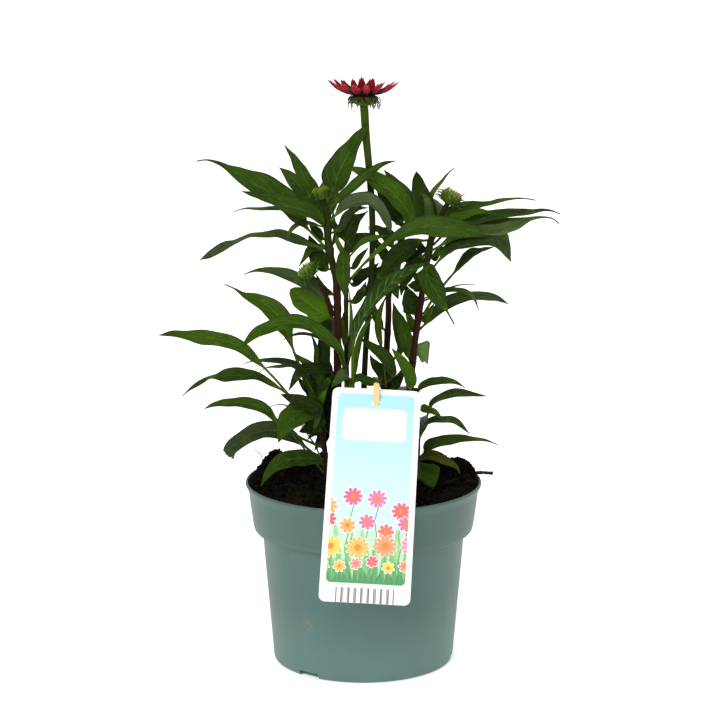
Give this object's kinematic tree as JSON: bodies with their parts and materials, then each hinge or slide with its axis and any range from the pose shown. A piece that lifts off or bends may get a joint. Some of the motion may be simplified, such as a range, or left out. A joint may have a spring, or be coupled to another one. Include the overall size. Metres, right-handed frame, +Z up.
{
  "type": "potted coneflower plant",
  "caption": "Herbaceous perennial in a round nursery pot, with a tall stem that carries an open daisy-like flower, leafy side stems with buds, and a plant label hung on a stick.",
  "frame": {"origin": "centre of the pot's underside, on the surface that the pot stands on", "axes": "+Z up along the plant; -Y towards the side where the label hangs over the rim; +X to the right seen from the label's side"},
  "size_m": [0.32, 0.2386, 0.4715],
  "materials": {
    "pot": "teal injection-moulded nursery pot, satin matte, dusty",
    "soil": "dark brown moist peat with fibres and crumbs",
    "bark": "rough dark bark",
    "card": "stiff white card with a smooth printed face",
    "bamboo": "pale bamboo, sanded",
    "green_stem": "green to olive stem, ribbed and finely hairy",
    "dark_stem": "dark purple-brown stem, ribbed and finely hairy",
    "leaf": "dark green leaf with sunken veins, slightly glossy",
    "bract": "yellow-green bracts, finely hairy",
    "petal": "crimson ray florets, satin, yellowish at the edges",
    "cone": "dark red bristly cone"
  },
  "bodies": {
    "root": {"bark_twig": "bark", "bud_branch": "dark_stem", "crown_left_shoot": "dark_stem", "crown_left_shoot_leaf_1": "leaf", "crown_left_shoot_leaf_2": "leaf", "crown_left_shoot_leaf_3": "leaf", "crown_left_shoot_leaf_4": "leaf", "crown_left_shoot_leaf_5": "leaf", "crown_left_shoot_leaf_6": "leaf", "crown_left_shoot_leaf_7": "leaf", "crown_left_shoot_leaf_8": "leaf", "crown_right_shoot": "dark_stem", "crown_right_shoot_leaf_1": "leaf", "crown_right_shoot_leaf_2": "leaf", "crown_right_shoot_leaf_3": "leaf", "flower_cone": "cone", "flower_receptacle": "bract", "flower_stem": "green_stem", "front_shoot": "green_stem", "front_shoot_leaf_1": "leaf", "front_shoot_leaf_2": "leaf", "label_card": "card", "label_stick": "bamboo", "left_bud": "bract", "left_stem": "dark_stem", "left_stem_leaf_1": "leaf", "left_stem_leaf_10": "leaf", "left_stem_leaf_11": "leaf", "left_stem_leaf_2": "leaf", "left_stem_leaf_3": "leaf", "left_stem_leaf_4": "leaf", "left_stem_leaf_5": "leaf", "left_stem_leaf_6": "leaf", "left_stem_leaf_7": "leaf", "left_stem_leaf_8": "leaf", "left_stem_leaf_9": "leaf", "lower_bud": "bract", "middle_stem": "dark_stem", "middle_stem_leaf_1": "leaf", "middle_stem_leaf_2": "leaf", "middle_stem_leaf_3": "leaf", "pot": "pot", "ray_florets": "petal", "right_bud": "bract", "right_stem": "dark_stem", "right_stem_leaf_1": "leaf", "right_stem_leaf_10": "leaf", "right_stem_leaf_11": "leaf", "right_stem_leaf_12": "leaf", "right_stem_leaf_2": "leaf", "right_stem_leaf_3": "leaf", "right_stem_leaf_4": "leaf", "right_stem_leaf_5": "leaf", "right_stem_leaf_6": "leaf", "right_stem_leaf_7": "leaf", "right_stem_leaf_8": "leaf", "right_stem_leaf_9": "leaf", "soil": "soil", "thin_stem": "green_stem", "thin_stem_leaf_1": "leaf"}
  },
  "joints": []
}
